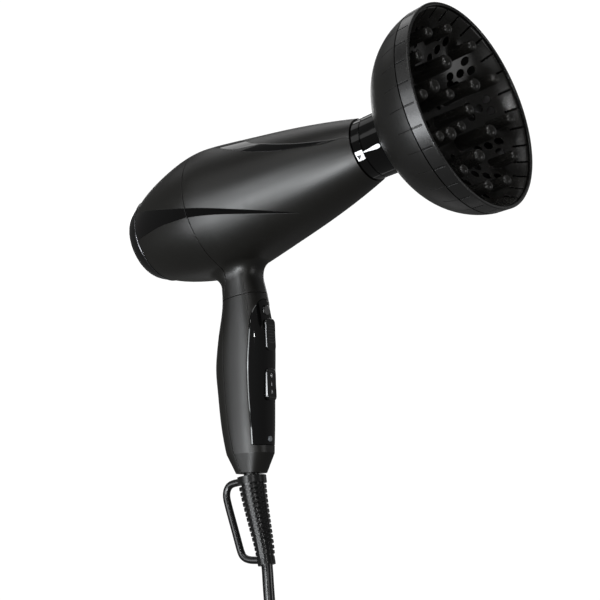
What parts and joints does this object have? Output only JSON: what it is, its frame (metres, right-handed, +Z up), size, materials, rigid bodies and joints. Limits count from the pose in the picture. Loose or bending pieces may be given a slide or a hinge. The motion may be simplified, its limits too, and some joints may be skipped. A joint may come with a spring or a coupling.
{
  "type": "hair dryer with bowl diffuser",
  "caption": "Hand-held salon hair dryer: tapering barrel, grip with sliding switches, corded boot with hang loop, and a round fingered bowl diffuser on its nozzle.",
  "frame": {"origin": "centre of the diffuser front rim plane, on the barrel axis", "axes": "+X blows forward along the barrel axis, +Z up, +Y to the left of the dryer; the grip leans 13 degrees back from straight down"},
  "size_m": [0.283, 0.15, 0.3747],
  "materials": {
    "matte_black": "soft-touch matt, fine grain",
    "bowl_black": "satin, fine grain",
    "gloss_black": "polished",
    "mark_white": "printed white",
    "mark_dark": "printed dark",
    "lens": "clear moulding",
    "inner_plastic": "moulded",
    "cord_pvc": "satin",
    "grip_rubber": "matt",
    "mica": "flaky",
    "heater_wire": "drawn",
    "steel": "plain",
    "trim_chrome": "polished",
    "copper": "drawn",
    "ferrite": "sintered",
    "carbon": "pressed carbon",
    "board": "phenolic laminate",
    "capacitor_body": "moulded",
    "fuse_body": "ceramic white",
    "wire_blue": "extruded"
  },
  "bodies": {
    "dryer": {"bearing_front": "copper", "bearing_rear": "copper", "carbon_brushes": "carbon", "circuit_board": "board", "clamp_screws": "steel", "cool_shot_switch": "inner_plastic", "cord_boot": "cord_pvc", "cord_clamp": "inner_plastic", "cord_conductors": "copper", "cord_sheath": "cord_pvc", "front_housing": "matte_black", "handle_front_shell": "matte_black", "handle_rear_shell": "matte_black", "handle_screws": "steel", "heat_shield_tube": "inner_plastic", "heat_switch_body": "inner_plastic", "heater_coil": "heater_wire", "indicator_lens": "lens", "internal_wiring": "wire_blue", "mica_cross": "mica", "mica_sleeve": "mica", "motor_can": "steel", "motor_magnets": "ferrite", "motor_mount": "inner_plastic", "motor_screws": "steel", "nozzle_mark": "mark_white", "nozzle_mark_arrow": "mark_dark", "nozzle_ring": "gloss_black", "outlet_grille": "inner_plastic", "rear_housing": "matte_black", "side_trim_front_left": "gloss_black", "side_trim_front_right": "gloss_black", "side_trim_rear_left": "gloss_black", "side_trim_rear_right": "gloss_black", "speed_switch_body": "inner_plastic", "suppressor_capacitor": "capacitor_body", "switch_panel": "gloss_black", "thermal_fuse": "fuse_body", "thermostat": "steel", "top_trim": "gloss_black"},
    "fan": {"fan_impeller": "inner_plastic", "motor_shaft": "steel", "armature": "steel", "commutator": "copper"},
    "heat_knob": {"heat_slider": "gloss_black"},
    "speed_knob": {"speed_slider": "gloss_black"},
    "cool_shot": {"cool_shot_button": "gloss_black", "cool_shot_spring": "steel"},
    "diffuser_clip": {"diffuser_grip_ring": "grip_rubber"},
    "diffuser": {"diffuser_collar": "gloss_black", "diffuser_bowl": "bowl_black", "diffuser_rim_band": "bowl_black", "diffuser_finger_plate": "bowl_black", "diffuser_pointer": "mark_white"},
    "rear_intake": {"rear_cap": "gloss_black", "intake_trim_ring": "trim_chrome", "filter_mesh": "steel"}
  },
  "joints": [
    {"name": "fan_spin", "type": "hinge", "parent": "dryer", "child": "fan", "pos_m": [-0.2, 0, 0], "axis": [1, 0, 0], "continuous": true},
    {"name": "heat_slide", "type": "slide", "parent": "dryer", "child": "heat_knob", "axis": [-0.225, 0, -0.9744], "range_m": [0, 0.007]},
    {"name": "speed_slide", "type": "slide", "parent": "dryer", "child": "speed_knob", "axis": [-0.225, 0, -0.9744], "range_m": [0, 0.007]},
    {"name": "cool_shot_press", "type": "slide", "parent": "dryer", "child": "cool_shot", "axis": [-0.9744, 0, 0.225], "range_m": [0, 0.001], "stiffness_N_per_m": 800, "deforming": ["cool_shot_spring"]},
    {"name": "diffuser_pull", "type": "slide", "parent": "dryer", "child": "diffuser_clip", "axis": [1, 0, 0], "range_m": [0, 0.02]},
    {"name": "diffuser_turn", "type": "hinge", "parent": "diffuser_clip", "child": "diffuser", "pos_m": [-0.07, 0, 0], "axis": [1, 0, 0], "continuous": true},
    {"name": "rear_intake_pull", "type": "slide", "parent": "dryer", "child": "rear_intake", "axis": [-1, 0, 0], "range_m": [0, 0.025]}
  ]
}
